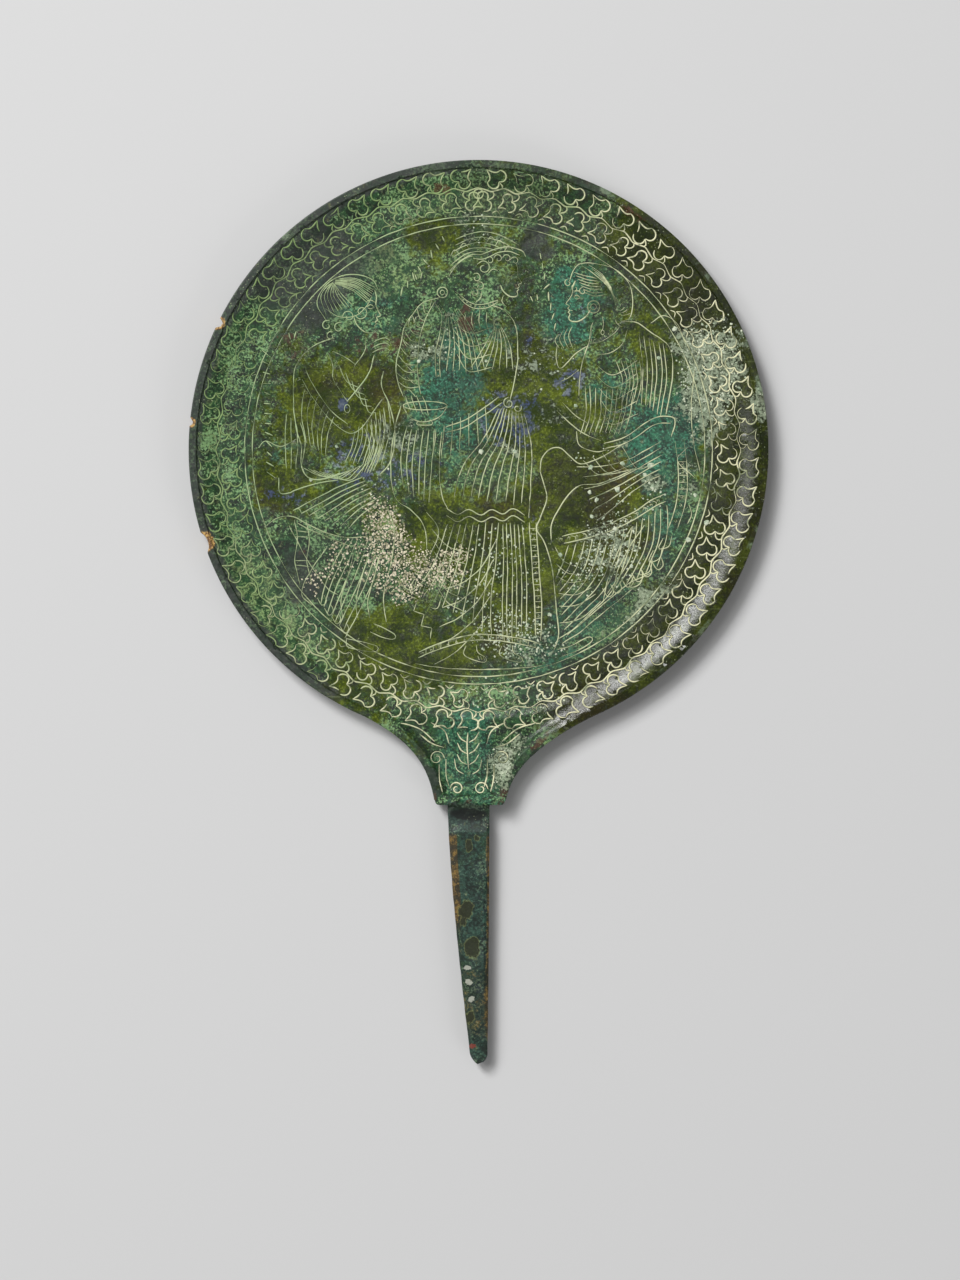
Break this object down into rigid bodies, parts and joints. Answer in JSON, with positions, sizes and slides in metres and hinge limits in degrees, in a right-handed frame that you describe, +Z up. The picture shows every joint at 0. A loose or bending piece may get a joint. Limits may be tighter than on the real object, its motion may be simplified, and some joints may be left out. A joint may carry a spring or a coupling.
{
  "type": "etruscan hand mirror",
  "caption": "Round bronze hand mirror with an engraved, dished back, a flared neck and a tapering tang for a lost handle.",
  "frame": {"origin": "middle of the flat spot under the disc, on which the mirror lies", "axes": "+Z up, out of the engraved face; +Y along the mirror from the tang towards the top of the disc; +X to the viewer's right"},
  "size_m": [0.155, 0.2418, 0.0062],
  "materials": {
    "bronze_patina": null
  },
  "bodies": {
    "root": {"mirror": "bronze_patina"}
  },
  "joints": []
}
